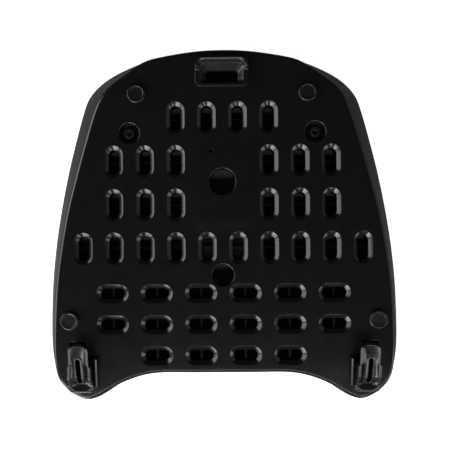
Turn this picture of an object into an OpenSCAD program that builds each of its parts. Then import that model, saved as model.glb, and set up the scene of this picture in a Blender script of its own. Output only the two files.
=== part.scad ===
/* [Deck] */
// Width of the deck's face between its two side edges
deck_w = 272.8; // [268:0.2:282]
// Length of the deck's face, from the rear edge to the tips of the front lobes
deck_l = 280; // [276:0.2:288]
// Height of the deck's face over the surface that the skirt stands on
deck_h = 22; // [20:0.5:26]
// Thickness of the deck
deck_t = 3.2; // [2.6:0.1:3.8]
// Radius of the rounded edge between the deck and the skirt
edge_r = 2.2; // [1.5:0.1:3]

/* [Skirt] */
// Thickness of the skirt
skirt_t = 2.8; // [2:0.1:3.6]
// How far the skirt flares out behind the latch
flare_rear = 4.8; // [3:0.1:7]
// How far the skirt flares out at the shoulders
flare_shoulder = 14; // [11:0.1:17]
// How far the skirt flares out beside the hooks
flare_side = 7.7; // [6:0.1:10]
// How far the skirt flares out along the front edge
flare_front = 2.6; // [1:0.1:3.5]

/* [Slots] */
// Width of a slot below its flared rim
slot_w = 8.2; // [6.6:0.1:9]
// Length of a slot below its flared rim
slot_l = 19.2; // [16:0.1:21]
// Width of the sloping rim round a slot
rim_w = 3.7; // [2.5:0.1:4.2]
// Depth of the sloping rim
rim_h = 3.6; // [2.5:0.1:4.4]
// Distance between neighbouring slots that run front to back
slot_pitch = 25; // [24.4:0.1:26]
// Distance between neighbouring rows of those slots
row_pitch = 35; // [34.5:0.1:36]
// Distance of the last of those rows from the middle of the plate
row_first = -19; // [-20:0.1:-18]
// Distance between neighbouring slots that run across
cross_pitch = 35.7; // [35:0.1:37]
// Distance between neighbouring rows of those slots
cross_row_pitch = 25; // [24:0.1:26]
// Distance of the rearmost of those rows from the middle of the plate
cross_row_first = -55.3; // [-56.5:0.1:-54.5]

/* [Ribs] */
// Thickness of a rib, also where it crosses under a slot
rib_t = 2.6; // [1.6:0.1:3]
// Depth of the ribs below the deck's face
rib_depth = 17; // [16:0.5:19]
// Thickness of the wall round a slot
slot_wall = 2; // [1.4:0.1:2.4]
// Depth of the slot walls below the deck's face, down to the ribs that cross under them
wall_depth = 13; // [10:0.5:14]
// Depth of the floor in the two closed slots
floor_depth = 7.5; // [6:0.1:9]

/* [Round features] */
// Diameter of the rear round hole
rear_hole_d = 21; // [16:0.5:24]
// Distance of the rear round hole from the middle of the plate
rear_hole_y = 34.3; // [32:0.1:37]
// Diameter of the front round hole
front_hole_d = 17.6; // [12:0.2:19]
// Distance of the front round hole from the middle of the plate
front_hole_y = -40.8; // [-42:0.1:-40]
// Diameter of the pilot hole
pilot_d = 2.8; // [2:0.1:4]
// Distance of the pilot hole from the middle line, to the left
pilot_x = 8.9; // [6:0.1:12]
// Distance of the pilot hole from the middle of the plate
pilot_y = 59.4; // [56:0.1:62]
// Height of the raised centre pad
pad_h = 0.8; // [0.4:0.1:1.2]

/* [Buffers] */
// Diameter of a rubber buffer
buffer_d = 14.8; // [12:0.2:16]
// Height of a rubber buffer over the deck
buffer_h = 3; // [2:0.1:5]
// Diameter of a buffer's neck
neck_d = 5; // [4:0.1:6]
// Diameter of the barb below the neck
barb_d = 7; // [6.5:0.1:8]
// Distance of a rear buffer from the middle line
rear_buffer_x = 68.6; // [64:0.2:71]
// Distance of a rear buffer from the deck's rear edge
rear_buffer_inset = 34.7; // [33:0.1:38]
// Distance of a front buffer from the deck's side edge
front_buffer_side = 12.8; // [12.2:0.1:16]
// Distance of a front buffer from the deck's front end
front_buffer_inset = 63.5; // [60:0.1:68]

/* [Socket screws] */
// Distance of a screw from the middle line
screw_x = 74.8; // [72:0.2:78]
// Distance of a screw from the middle of the plate
screw_y = 73.8; // [71:0.2:76]
// Diameter of the screw's thread
screw_d = 5; // [4:0.5:6]
// Length of the screw below its head
screw_l = 10; // [9:1:12]
// Diameter of the recess round the screw's head
recess_d = 16.4; // [14:0.2:17]
// Depth of the recess below the deck's face
recess_depth = 6; // [5.5:0.5:7]
// Thickness of the floor under the recess
recess_floor = 3; // [2.5:0.5:4]

/* [Hooks] */
// Distance of the middle of a hook from the deck's side edge
hook_inset = 22.4; // [21.4:0.1:23.4]
// Height of a hook over the deck
hook_h = 17; // [14:0.5:20]
// Width of the tongue that the case hangs on
tongue_w = 15.4; // [12:0.2:17]
// Distance of the tip of the tongue from the deck's front end
tip_inset = 47; // [45:0.2:49]
// Thickness of the tongue
tongue_t = 5.4; // [4:0.2:7]
// Depth of the mouth below the tongue
mouth_l = 16; // [12:0.5:17]
// Width of the opening in the deck under the tongue
mouth_w = 21; // [18:0.2:22]
// Length of a hook from the tip of the tongue to the front of its base
hook_l = 41.6; // [38:0.2:44]
// Distance from the tip of the tongue to the hook's base
base_from = 17.5; // [17:0.5:20]
// Width of the rails along the edges of a hook
rail_w = 2.2; // [1.6:0.1:2.6]
// Depth of the dish between the rails
dish_h = 1.7; // [1:0.1:2]
// Width of the groove down the front of a hook
groove_w = 2.8; // [2.4:0.1:4.4]

/* [Latch keeper] */
// Width of the keeper's frame
keeper_w = 43.6; // [40:0.2:46]
// Length of the keeper's frame
keeper_l = 23.5; // [22.5:0.1:26]
// Distance of the front of the frame from the deck's rear edge
keeper_inset = 30.2; // [29:0.1:31]
// Height of the frame over the deck
keeper_h = 3.6; // [2.5:0.1:5]
// Height of the lip at the back of the frame
lip_h = 8; // [6:0.2:10]
// Width of the window that the case's latch enters
window_w = 25.8; // [22:0.2:28]
// Length of the window
window_l = 9.2; // [8:0.2:11]

/* [Hidden] */
$fn = 48;
// Gap round a piece that passes through a hole
fit_gap = 0.15;
// Overrun of a cutting shape past the face that it opens
cut = 1;
// Steps of the outline between two of its keys
steps = 3;
deck_z = deck_h - deck_t;
rib_z = deck_h - rib_depth;
wall_z = deck_h - wall_depth;
floor_z = deck_h - floor_depth;
// Right half of the deck's edge from the rear middle to the front middle
// Each key has its place as shares of half the width and half the length, and the skirt's flare there
edge_keys = [
  [0.000, 1.000, flare_rear], [0.169, 0.992, flare_rear], [0.359, 0.963, flare_rear + 0.4],
  [0.463, 0.933, flare_rear + 1], [0.569, 0.864, flare_shoulder - 4.4], [0.667, 0.790, flare_shoulder - 2],
  [0.722, 0.717, flare_shoulder], [0.755, 0.643, flare_shoulder - 0.3], [0.801, 0.500, flare_shoulder - 1],
  [0.863, 0.286, flare_shoulder - 2], [0.919, 0.071, flare_side + 2.6], [0.959, -0.143, flare_side + 1.7],
  [0.987, -0.357, flare_side + 0.7], [1.000, -0.600, flare_side], [0.999, -0.757, flare_side - 0.7],
  [0.978, -0.871, flare_side - 1.5], [0.931, -0.936, flare_front + 2.8], [0.869, -0.980, flare_front + 2.3],
  [0.801, -1.000, flare_front + 2.2], [0.729, -0.976, flare_front + 1], [0.609, -0.909, flare_front],
  [0.487, -0.866, flare_front], [0.367, -0.849, flare_front], [0.183, -0.849, flare_front],
  [0.000, -0.849, flare_front]
];
// The screw's own proportions follow its thread
head_d = 1.7 * screw_d;
head_h = screw_d;
socket_af = 0.8 * screw_d;
washer_d = 2 * screw_d;
washer_t = 1;
nut_af = 1.6 * screw_d;
nut_h = 0.8 * screw_d;
recess_z = deck_h - recess_depth;
boss_z = recess_z - recess_floor;
// Slots in each row, as distances from the middle counted in pitches
long_columns = [[0.5, 1.5, 2.5, 3.5, 4.5], [1.5, 2.5, 3.5], [1.5, 2.5, 3.5], [0.5, 1.5]];
cross_columns = [[0.5, 1.5, 2.5], [0.5, 1.5, 2.5], [0.5, 1.5]];
// The rib between the two kinds of slots
between_y = (row_first + cross_row_first) / 2;
// Places on the right side
screw_at = [screw_x, screw_y];
rear_buffer = [rear_buffer_x, deck_l / 2 - rear_buffer_inset];
front_buffer = [deck_w / 2 - front_buffer_side, front_buffer_inset - deck_l / 2];
hook_x = deck_w / 2 - hook_inset;
// Distances of the tongue's tip and of the keeper's front from the middle of the plate
tongue_tip = deck_l / 2 - tip_inset;
keeper_y = deck_l / 2 - keeper_inset;
// Length of a buffer's barb, and of the rounding at a buffer's edge
barb_l = 3.4;
buffer_round = 0.8;
// The centre pad's outline at the deck, its corners and its slope
pad_w = 60;
pad_l = 69;
pad_y = -5;
pad_r = 17;
pad_slope = 8;
// The top of a hook's ramp and its foot, counted from the tip of the tongue
ramp_from = 11.5;
ramp_to = 35.8;
foot_h = 4.4;
// The same, and the hook's other corners, counted from the middle of the plate
ramp_top = -tongue_tip - ramp_from;
ramp_foot = -tongue_tip - ramp_to;
throat_y = -tongue_tip - mouth_l;
base_back = -tongue_tip - base_from;
base_front = -tongue_tip - hook_l;
// Width of the wall on each side of the tongue, and of the ledge along the base's inner side
base_wall = 2.9;
base_w = tongue_w + 2 * base_wall;
ledge_step = 2.2;
ledge_h = 4.5;
ledge_back = base_back + 1;
// Height of the ramp where the base begins, and length of the lip at the base's front
base_top = hook_h - (ramp_top - base_back) * (hook_h - foot_h) / (ramp_top - ramp_foot);
base_lip = 3.4;
// Roundings of a hook, and the radii of the dish in the tongue and of the wider one in the base
throat_r = 3;
tip_r = 5.5;
base_r = 4.5;
dish_r = arc_r(tongue_w - 2 * rail_w);
scoop_r = arc_r(base_w - 2 * rail_w);
// The keeper's walls and corners, and how far its sides lean in
keeper_r = 5;
keeper_wall = 3.2;
keeper_lean = 0.8;
// The raised rear of the frame, the slope up to it and the step inside it
lip_l = 7;
rise_l = 5;
lip_step = 1.2;
// The sunk floor round the latch window
sunk_h = 0.6;
sunk_edge = 1;
window_r = 1.5;
window_edge = 0.7;
window_y = keeper_y + keeper_wall + window_edge + window_l / 2;

// Radius of an arc that is w wide and as deep as the dish
function arc_r(w) = (w * w / 4 + dish_h * dish_h) / (2 * dish_h);

function blend(a, b, c, d, t) =
  0.5 * (2 * b + (c - a) * t + (2 * a - 5 * b + 4 * c - d) * t * t + (3 * b - a - 3 * c + d) * t * t * t);
function key(i) =
  i < 0 ? [-edge_keys[-i].x, edge_keys[-i].y, edge_keys[-i].z]
  : i < len(edge_keys) ? edge_keys[i]
  : [-edge_keys[2 * len(edge_keys) - 2 - i].x, edge_keys[2 * len(edge_keys) - 2 - i].y, flare_front];
half_edge = [
  for (i = [0 : len(edge_keys) - 2], j = [0 : steps - 1])
    let (p = blend(key(i - 1), key(i), key(i + 1), key(i + 2), j / steps))
      [p.x * deck_w / 2, p.y * deck_l / 2, p.z]
];
front_middle = [0, edge_keys[len(edge_keys) - 1].y * deck_l / 2, flare_front];
edge = concat(
  half_edge, [front_middle],
  [for (i = [len(half_edge) - 1 : -1 : 1]) [-half_edge[i].x, half_edge[i].y, half_edge[i].z]]
);
function outward(i) =
  let (n = len(edge), a = edge[(i + n - 1) % n], b = edge[(i + 1) % n], d = [b.y - a.y, a.x - b.x])
    -d / norm(d);
// One ring of the plate: the deck's edge moved out by a share of the flare, and by a fixed distance
function ring(share, out, z) = [
  for (i = [0 : len(edge) - 1])
    let (n = outward(i), d = share * edge[i].z + out) [edge[i].x + n.x * d, edge[i].y + n.y * d, z]
];

module skin(rings) {
  n = len(rings[0]);
  last = len(rings) - 1;
  polyhedron(
    points = [for (r = rings) for (p = r) p],
    faces = concat(
      [[for (i = [n - 1 : -1 : 0]) i]],
      [for (k = [0 : last - 1], i = [0 : n - 1]) [k * n + i, (k + 1) * n + (i + 1) % n, (k + 1) * n + i]],
      [for (k = [0 : last - 1], i = [0 : n - 1]) [k * n + i, k * n + (i + 1) % n, (k + 1) * n + (i + 1) % n]],
      [[for (i = [0 : n - 1]) last * n + i]]
    ));
}

module body_form() {
  skin([
    ring(1, 0, 0),
    ring(edge_r / deck_h, 0, deck_h - edge_r),
    for (a = [30 : 30 : 90]) ring(0, edge_r * (cos(a) - 1), deck_h - edge_r + edge_r * sin(a))
  ]);
}

module cavity_form() {
  skin([
    ring(1 + cut / deck_h, -skirt_t, -cut),
    ring(deck_t / deck_h, -skirt_t, deck_z)
  ]);
}

module stadium(w, l) {
  square([w, l - w], center = true);
  for (side = [-1, 1]) translate([0, side * (l - w) / 2]) circle(d = w);
}

// Places of the slots that run front to back, from row_from to row_to, and from column_from outwards
module at_long_slots(rows = [0 : 3], blind = false) {
  for (row = rows, column = long_columns[row], side = [-1, 1])
    if (blind == (row == 0 && column < 1))
      translate([side * column * slot_pitch, row_first + row * row_pitch]) children();
}

// Places of the slots that run across
module at_cross_slots() {
  for (row = [0 : 2], column = cross_columns[row], side = [-1, 1])
    translate([side * column * cross_pitch, cross_row_first - row * cross_row_pitch]) rotate(90) children();
}

module open_slots(w, l) {
  at_long_slots() stadium(w, l);
  at_cross_slots() stadium(w, l);
}

module closed_slots(w, l) {
  at_long_slots(blind = true) stadium(w, l);
}

// The sloping rim that opens one slot to the deck's face
module slot_rim() {
  slope = rim_w / rim_h;
  r_low = slot_w / 2 - slope * cut / 4;
  r_high = slot_w / 2 + slope * (rim_h + cut);
  low_z = deck_h - rim_h - cut / 4;
  h = rim_h + 1.25 * cut;
  reach = (slot_l - slot_w) / 2;
  for (side = [-1, 1]) translate([0, side * reach, low_z]) cylinder(h = h, r1 = r_low, r2 = r_high);
  translate([0, reach, low_z]) rotate([90, 0, 0]) linear_extrude(2 * reach)
    polygon([[-r_low, 0], [r_low, 0], [r_high, h], [-r_high, h]]);
}

// Ribs below the deck: those that cross under the slots, those between them, and those under the hooks
module rib_plan() {
  for (row = [0 : 3]) translate([0, row_first + row * row_pitch]) square([1.2 * deck_w, rib_t], center = true);
  for (column = cross_columns[0], side = [-1, 1])
    translate([side * column * cross_pitch - rib_t / 2, -deck_l]) square([rib_t, deck_l + between_y]);
  for (column = [1 : 4], side = [-1, 1])
    translate([side * column * slot_pitch - rib_t / 2, between_y]) square([rib_t, deck_l]);
  for (row = [0 : 2])
    translate([0, between_y - row * cross_row_pitch]) square([1.2 * deck_w, rib_t], center = true);
  for (side = [-1, 1], wall_side = [-1, 1])
    translate([side * hook_x + wall_side * (mouth_w + rib_t) / 2 - rib_t / 2, -deck_l])
      square([rib_t, deck_l - tongue_tip + rib_t]);
}

// Walls round the slots, the round holes and the latch window
module wall_plan() {
  open_slots(slot_w + 2 * slot_wall, slot_l + 2 * slot_wall);
  translate([0, rear_hole_y]) circle(d = rear_hole_d + 2 * slot_wall);
  translate([0, front_hole_y]) circle(d = front_hole_d + 2 * slot_wall);
  translate([0, window_y]) square([window_w + 2 * slot_wall, window_l + 2 * slot_wall], center = true);
}

module underside() {
  difference() {
    cavity_form();
    translate([0, 0, rib_z]) linear_extrude(deck_h) difference() {
      rib_plan();
      translate([0, front_hole_y]) circle(d = front_hole_d + slot_wall);
    }
    translate([0, 0, wall_z]) linear_extrude(deck_h) wall_plan();
    translate([0, 0, floor_z - slot_wall]) linear_extrude(deck_h)
      closed_slots(slot_w + 2 * slot_wall, slot_l + 2 * slot_wall);
    for (side = [-1, 1]) translate([side * screw_at.x, screw_at.y, boss_z])
      cylinder(h = deck_h, d = recess_d + 2 * slot_wall);
  }
}

module slot_openings() {
  translate([0, 0, wall_z]) linear_extrude(deck_h) open_slots(slot_w, slot_l);
  translate([0, 0, floor_z]) linear_extrude(deck_h) closed_slots(slot_w, slot_l);
}

module round_openings() {
  translate([0, rear_hole_y, -cut]) cylinder(h = 2 * deck_h, d = rear_hole_d);
  translate([0, front_hole_y, -cut]) cylinder(h = 2 * deck_h, d = front_hole_d);
  translate([-pilot_x, pilot_y, -cut]) cylinder(h = 2 * deck_h, d = pilot_d);
  for (side = [-1, 1]) {
    translate([side * screw_at.x, screw_at.y, recess_z]) cylinder(h = deck_h, d = recess_d);
    translate([side * screw_at.x, screw_at.y, -cut]) {
      cylinder(h = deck_h, d = screw_d + 2 * fit_gap);
      cylinder(h = boss_z + cut, d = recess_d - 2);
    }
    for (at = [rear_buffer, front_buffer]) translate([side * at.x, at.y, -cut])
      cylinder(h = 2 * deck_h, d = neck_d + 2 * fit_gap);
  }
}

// A low raised area round the rear hole, with sloping sides
module centre_pad() {
  hull() for (side = [-1, 1], y = [pad_y + pad_r, pad_y + pad_l - pad_r], level = [0, 1])
    translate([side * (pad_w / 2 - pad_r), y, deck_z])
      cylinder(h = deck_t + level * pad_h, r = pad_r - level * pad_slope, $fn = 32);
}

// Corners of a rounded rectangle, for hulls and openings
module corners(w, l, r) {
  for (x = [-1, 1], y = [-1, 1]) translate([x * (w / 2 - r), y * (l / 2 - r), 0]) children();
}

module rounded_plan(w, l, r) {
  square([w - 2 * r, l], center = true);
  square([w, l - 2 * r], center = true);
  corners(w, l, r) circle(r = r);
}

// Side view of the keeper's frame, low in front and raised round its rear
module keeper_profile() {
  rear = keeper_y + keeper_l;
  polygon([
    [keeper_y, -deck_t], [keeper_y, keeper_h - 0.6], [keeper_y + 0.6, keeper_h],
    [rear - lip_l - rise_l, keeper_h], [rear - lip_l - 0.75 * rise_l, keeper_h + 0.12 * (lip_h - keeper_h)],
    [rear - lip_l - 0.25 * rise_l, keeper_h + 0.88 * (lip_h - keeper_h)], [rear - lip_l, lip_h],
    [rear - keeper_lean - 1.2, lip_h], [rear - keeper_lean - 0.3, lip_h - 0.4], [rear, lip_h - 1.6], [rear, -deck_t]
  ]);
}

// The keeper's frame, a rounded block whose sides lean in
module keeper() {
  intersection() {
    translate([0, keeper_y + keeper_l / 2, deck_z]) hull() {
      corners(keeper_w, keeper_l, keeper_r) cylinder(h = 0.1, r = keeper_r, $fn = 32);
      translate([0, 0, deck_t + lip_h]) corners(keeper_w, keeper_l, keeper_r)
        cylinder(h = 0.1, r = keeper_r - keeper_lean, $fn = 32);
    }
    translate([0, 0, deck_h]) from_side(keeper_w) keeper_profile();
  }
}

// The window, the slope round it and the wider hollow inside the raised rear
module keeper_openings() {
  translate([0, window_y, -cut]) linear_extrude(2 * deck_h) rounded_plan(window_w, window_l, window_r);
  inner_w = keeper_w - 2 * keeper_wall;
  inner_l = keeper_l - 2 * keeper_wall;
  hull() {
    translate([0, window_y, deck_h - sunk_h]) corners(window_w + 2 * sunk_edge, window_l + 2 * sunk_edge, 2)
      cylinder(h = 0.1, r = 2, $fn = 32);
    translate([0, keeper_y + keeper_l / 2 - lip_step / 2, deck_h + keeper_h])
      corners(inner_w - lip_step, inner_l - lip_step, 3) cylinder(h = cut, r = 3, $fn = 32);
  }
  translate([0, keeper_y + keeper_l / 2, deck_h + keeper_h]) linear_extrude(2 * lip_h)
    rounded_plan(inner_w, inner_l, keeper_r - keeper_wall);
}

// Side view of a hook, with the tip of its tongue on the right and the deck's face at height 0
module hook_profile() {
  difference() {
    polygon([
      [-tongue_tip, hook_h - tongue_t + 0.8], [-tongue_tip, hook_h - 2.4], [-tongue_tip - 0.9, hook_h - 0.8],
      [-tongue_tip - 2.6, hook_h], [ramp_top, hook_h], [ramp_top - 3, hook_h - 0.9],
      [ramp_foot, foot_h], [base_front + 1, 0.6], [base_front + 1, -deck_t], [-tongue_tip, -deck_t]
    ]);
    polygon([
      [-tongue_tip + cut, -2 * deck_t], [throat_y, -2 * deck_t], [throat_y, hook_h - tongue_t - throat_r],
      [throat_y + throat_r, hook_h - tongue_t], [-tongue_tip + cut, hook_h - tongue_t]
    ]);
    translate([throat_y + throat_r, hook_h - tongue_t - throat_r]) circle(r = throat_r);
  }
}

module base_profile() {
  polygon([
    [base_back, -deck_t], [base_back, base_top], [ramp_foot, foot_h], [base_front + 1.4, foot_h - 0.7],
    [base_front + 0.4, foot_h - 1.3], [base_front, foot_h - 2.2], [base_front, -deck_t]
  ]);
}

// A side view, made w wide across the middle of a hook
module from_side(w) {
  translate([-w / 2, 0, 0]) rotate([90, 0, 90]) linear_extrude(w) children();
}

// The tongue seen from above, with a rounded tip
module tongue_plan() {
  translate([-tongue_w / 2, base_front]) square([tongue_w, hook_l - tip_r]);
  translate([-tongue_w / 2 + tip_r, base_front]) square([tongue_w - 2 * tip_r, hook_l]);
  for (side = [-1, 1]) translate([side * (tongue_w / 2 - tip_r), -tongue_tip - tip_r]) circle(r = tip_r);
}

// The hook's base seen from above, a little narrower at its back and with rounded front corners
module base_plan() {
  hull() {
    translate([-(tongue_w + base_wall) / 2, base_back - 1]) square([tongue_w + base_wall, 1]);
    for (side = [-1, 1]) translate([side * (base_w / 2 - base_r), base_front + base_r]) circle(r = base_r, $fn = 32);
  }
}

// A round bar that cuts a dish of radius r along a line from a to b of the side view
module dish(r, a, b) {
  lift = (r - dish_h) * [b.y - a.y, a.x - b.x] / norm(b - a);
  translate([0, a.x + lift.x, a.y + lift.y]) rotate([atan2(a.x - b.x, b.y - a.y), 0, 0])
    cylinder(h = norm(b - a), r = r, $fn = 72);
}

// One hook, with the ledge on the side towards the middle line
module hook(side) {
  difference() {
    union() {
      intersection() {
        from_side(tongue_w) hook_profile();
        translate([0, 0, -deck_t]) linear_extrude(2 * hook_h) tongue_plan();
      }
      intersection() {
        from_side(base_w) base_profile();
        translate([0, 0, -deck_t]) linear_extrude(2 * hook_h) base_plan();
      }
      translate([-side * base_w / 2, (ramp_foot + ledge_back) / 2, (ledge_h - deck_t) / 2])
        cube([2 * ledge_step, ledge_back - ramp_foot, deck_t + ledge_h], center = true);
    }
    dish(dish_r, [-tongue_tip - 2 * rail_w, hook_h], [base_back, hook_h]);
    dish(dish_r, [ramp_top, hook_h], [base_back, base_top]);
    dish(scoop_r, [base_back, base_top], [base_front + base_lip, foot_h * 0.7]);
    translate([0, (ramp_top + ramp_foot) / 2, 1]) linear_extrude(2 * hook_h)
      stadium(groove_w, ramp_top - ramp_foot + 1);
  }
}

// The opening in the deck under a tongue
module mouth_opening(side) {
  translate([side * hook_x - mouth_w / 2, throat_y, -cut]) cube([mouth_w, mouth_l, deck_h + 2 * cut]);
}

module plate() {
  color("#17181a") difference() {
    union() {
      difference() {
        union() {
          body_form();
          centre_pad();
          keeper();
        }
        for (side = [-1, 1]) mouth_opening(side);
      }
      for (side = [-1, 1]) translate([side * hook_x, 0, deck_h]) hook(side);
    }
    underside();
    slot_openings();
    round_openings();
    keeper_openings();
    at_long_slots() slot_rim();
    at_long_slots(blind = true) slot_rim();
    at_cross_slots() slot_rim();
  }
}

module buffer(at) {
  head_r = buffer_d / 2;
  neck_r = neck_d / 2;
  barb_r = barb_d / 2;
  color("#1d1d1e") translate([at.x, at.y, deck_h]) rotate_extrude() polygon([
    [0, -deck_t - barb_l], [neck_r - 0.6, -deck_t - barb_l], [barb_r, -deck_t - buffer_round], [barb_r, -deck_t],
    [neck_r, -deck_t], [neck_r, 0], [head_r - 0.4, 0], [head_r, 0.6], [head_r, buffer_h - buffer_round],
    [head_r - buffer_round, buffer_h], [head_r - 2 * buffer_round, buffer_h],
    [head_r - 2.5 * buffer_round, buffer_h - 0.4], [0, buffer_h - 0.4]
  ]);
}

module screw(side) {
  color("#26272a") translate([side * screw_at.x, screw_at.y, recess_z]) difference() {
    rotate_extrude() polygon([
      [0, -screw_l], [screw_d / 2 - 0.5, -screw_l], [screw_d / 2, -screw_l + 0.5], [screw_d / 2, 0],
      [head_d / 2, 0], [head_d / 2, head_h - 0.4], [head_d / 2 - 0.4, head_h], [0, head_h]
    ]);
    translate([0, 0, head_h / 2]) cylinder(h = head_h, d = socket_af / cos(30), $fn = 6);
  }
}

module washer(side) {
  color("#8d9094") translate([side * screw_at.x, screw_at.y, boss_z - washer_t]) difference() {
    cylinder(h = washer_t, d = washer_d);
    translate([0, 0, -cut]) cylinder(h = washer_t + 2 * cut, d = screw_d + 2 * fit_gap);
  }
}

module nut(side) {
  color("#8d9094") translate([side * screw_at.x, screw_at.y, boss_z - washer_t - nut_h]) difference() {
    intersection() {
      cylinder(h = nut_h, d = nut_af / cos(30), $fn = 6);
      rotate_extrude() polygon([
        [0, 0], [nut_af / 2 - 0.2, 0], [nut_af / cos(30) / 2, 0.5], [nut_af / cos(30) / 2, nut_h - 0.5],
        [nut_af / 2 - 0.2, nut_h], [0, nut_h]
      ]);
    }
    translate([0, 0, -cut]) cylinder(h = nut_h + 2 * cut, d = screw_d + 2 * fit_gap);
  }
}

plate();
buffer(rear_buffer);  // buffer_rear_right
buffer([-rear_buffer.x, rear_buffer.y]);  // buffer_rear_left
buffer(front_buffer);  // buffer_front_right
buffer([-front_buffer.x, front_buffer.y]);  // buffer_front_left
screw(1);  // screw_right
screw(-1);  // screw_left
washer(1);  // washer_right
washer(-1);  // washer_left
nut(1);  // nut_right
nut(-1);  // nut_left
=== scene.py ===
"""A black slotted plate that carries a motorbike's top case, dressed for its picture.

The plate is one nylon moulding with flared slots, two hooks and a latch keeper. Four rubber buffers and two
recessed socket screws are fitted to it. Lengths are in millimetres until a mesh is made, +Y points to the
latch keeper and +Z up to the case.
"""
import logging
import math
from dataclasses import dataclass, field
from enum import Enum
from typing import Any, Callable, Iterable, Mapping, Optional, Sequence, Union

import bmesh
import bpy
import numpy as np
from mathutils import Matrix, Vector
from mathutils.geometry import delaunay_2d_cdt


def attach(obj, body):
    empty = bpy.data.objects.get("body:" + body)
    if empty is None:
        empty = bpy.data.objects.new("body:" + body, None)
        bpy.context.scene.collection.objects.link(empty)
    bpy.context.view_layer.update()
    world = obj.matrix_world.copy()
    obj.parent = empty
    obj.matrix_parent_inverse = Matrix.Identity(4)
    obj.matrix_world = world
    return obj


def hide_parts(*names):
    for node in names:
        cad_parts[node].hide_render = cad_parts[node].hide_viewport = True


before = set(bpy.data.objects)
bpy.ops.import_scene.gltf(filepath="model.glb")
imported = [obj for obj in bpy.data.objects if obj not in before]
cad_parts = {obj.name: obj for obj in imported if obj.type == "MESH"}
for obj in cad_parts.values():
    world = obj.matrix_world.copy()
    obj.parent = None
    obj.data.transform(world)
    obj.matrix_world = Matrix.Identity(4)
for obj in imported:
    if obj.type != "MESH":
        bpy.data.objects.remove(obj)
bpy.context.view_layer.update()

MM = 0.001
LOG = logging.getLogger("plate")

Path = Sequence[tuple[float, float, float]]
Field = Callable[[np.ndarray], np.ndarray]


class Side(Enum):
    """The two mirrored sides of the plate, seen from above with the latch away from the viewer."""

    RIGHT = 1
    LEFT = -1

    @property
    def word(self) -> str:
        """Gives the side's word in the names of nodes."""
        return self.name.lower()


class Signal:
    """One shader socket that can stand in a Python expression."""

    def __init__(self, sheet: "ShaderSheet", socket: bpy.types.NodeSocket) -> None:
        """Keeps the socket and the sheet that it is drawn on."""
        self.sheet = sheet
        self.socket = socket

    def _math(self, operation: str, first: "Operand", second: "Operand") -> "Signal":
        """Adds one Math node and gives its result."""
        return self.sheet.add("ShaderNodeMath", {"operation": operation}, {0: first, 1: second})

    def __add__(self, other: "Operand") -> "Signal":
        """Adds."""
        return self._math("ADD", self, other)

    def __radd__(self, other: "Operand") -> "Signal":
        """Adds to a number."""
        return self._math("ADD", other, self)

    def __sub__(self, other: "Operand") -> "Signal":
        """Subtracts."""
        return self._math("SUBTRACT", self, other)

    def __rsub__(self, other: "Operand") -> "Signal":
        """Subtracts from a number."""
        return self._math("SUBTRACT", other, self)

    def __mul__(self, other: "Operand") -> "Signal":
        """Multiplies."""
        return self._math("MULTIPLY", self, other)

    def __rmul__(self, other: "Operand") -> "Signal":
        """Multiplies a number."""
        return self._math("MULTIPLY", other, self)


Operand = Union[Signal, float]


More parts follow.
